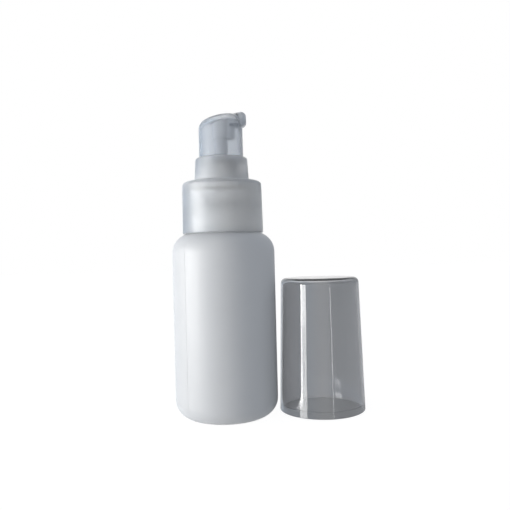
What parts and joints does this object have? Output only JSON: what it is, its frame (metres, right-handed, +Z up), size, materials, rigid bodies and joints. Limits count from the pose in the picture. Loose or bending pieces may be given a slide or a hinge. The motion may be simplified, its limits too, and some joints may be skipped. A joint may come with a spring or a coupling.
{
  "type": "pump oil bottle",
  "caption": "Small round white oil bottle with a translucent screw-on finger pump, slanted pump head with a short nozzle, and a clear tapered overcap standing beside it.",
  "frame": {"origin": "middle of the bottle's base, on the table", "axes": "+Z up along the bottle's axis, +X towards the nozzle and the overcap, -Y towards the viewer"},
  "size_m": [0.0676, 0.0384, 0.1066],
  "materials": {
    "white_hdpe": "satin blow-moulded white polyethylene",
    "natural_pp": "translucent natural polypropylene, moulded smooth",
    "milky_pp": "milky natural polypropylene",
    "white_ldpe": "soft white polyethylene",
    "gasket_foam": "closed-cell sealing foam",
    "tube_pe": "extruded natural polyethylene tube",
    "spring_steel": "drawn stainless steel",
    "clear_cap": "clear moulded plastic with a faint grey cast"
  },
  "bodies": {
    "bottle": {"bottle": "white_hdpe"},
    "pump": {"neck_gasket": "gasket_foam", "pump_housing": "milky_pp", "stem_guide": "milky_pp", "dip_tube": "tube_pe", "return_spring": "spring_steel"},
    "collar": {"screw_collar": "natural_pp"},
    "plunger": {"valve_plug": "milky_pp"},
    "head": {"actuator": "natural_pp", "stem": "milky_pp"},
    "piston": {"piston": "white_ldpe"},
    "ball": {"inlet_ball": "spring_steel"},
    "cap": {"overcap": "clear_cap"}
  },
  "joints": [
    {"name": "pump_lift", "type": "slide", "parent": "bottle", "child": "pump", "axis": [0, 0, 1], "range_m": [0, 0.0048]},
    {"name": "collar_turn", "type": "hinge", "parent": "pump", "child": "collar", "pos_m": [0, 0, 0.073], "axis": [0, 0, 1], "range_deg": [0, 540]},
    {"name": "pump_stroke", "type": "slide", "parent": "pump", "child": "plunger", "axis": [0, 0, -1], "range_m": [0, 0.006], "stiffness_N_per_m": 300, "springref_m": -0.002, "deforming": ["return_spring"]},
    {"name": "head_turn", "type": "hinge", "parent": "plunger", "child": "head", "pos_m": [0, 0, 0.095], "axis": [0, 0, 1], "continuous": true},
    {"name": "piston_lag", "type": "slide", "parent": "plunger", "child": "piston", "axis": [0, 0, 1], "range_m": [0, 0.00065]},
    {"name": "ball_lift", "type": "slide", "parent": "pump", "child": "ball", "axis": [0, 0, 1], "range_m": [0, 0.0012]},
    {"name": "cap_lift", "type": "slide", "parent": "bottle", "child": "cap", "axis": [0, 0, 1], "range_m": [0, 0.115]}
  ],
  "couplings": [
    {"joint": "pump_lift", "follows": "collar_turn", "m_per_rad": 0.00050532}
  ]
}
